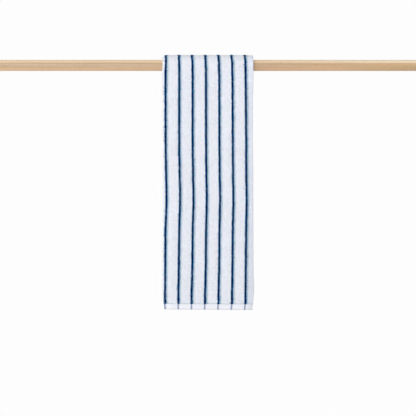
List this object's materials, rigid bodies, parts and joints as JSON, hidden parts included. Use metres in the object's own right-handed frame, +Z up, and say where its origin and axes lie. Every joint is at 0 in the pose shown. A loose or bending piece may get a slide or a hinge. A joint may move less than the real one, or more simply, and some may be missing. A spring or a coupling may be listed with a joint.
{
  "type": "bath towel on a rod",
  "caption": "Striped terry bath towel, folded lengthwise in thirds and hung over a round wooden rod.",
  "frame": {"origin": "middle of the rod's axis, over which the towel hangs", "axes": "+X along the rod to the viewer's right, +Y from the front panel to the back panel, +Z up"},
  "size_m": [1.2, 0.0601, 0.6893],
  "materials": {
    "terry": "cotton terry, matt, white with narrow dark blue stripes",
    "wood": "pale close-grained hardwood, sanded and lightly oiled"
  },
  "bodies": {
    "root": {"towel": "terry", "rod": "wood"}
  },
  "joints": []
}
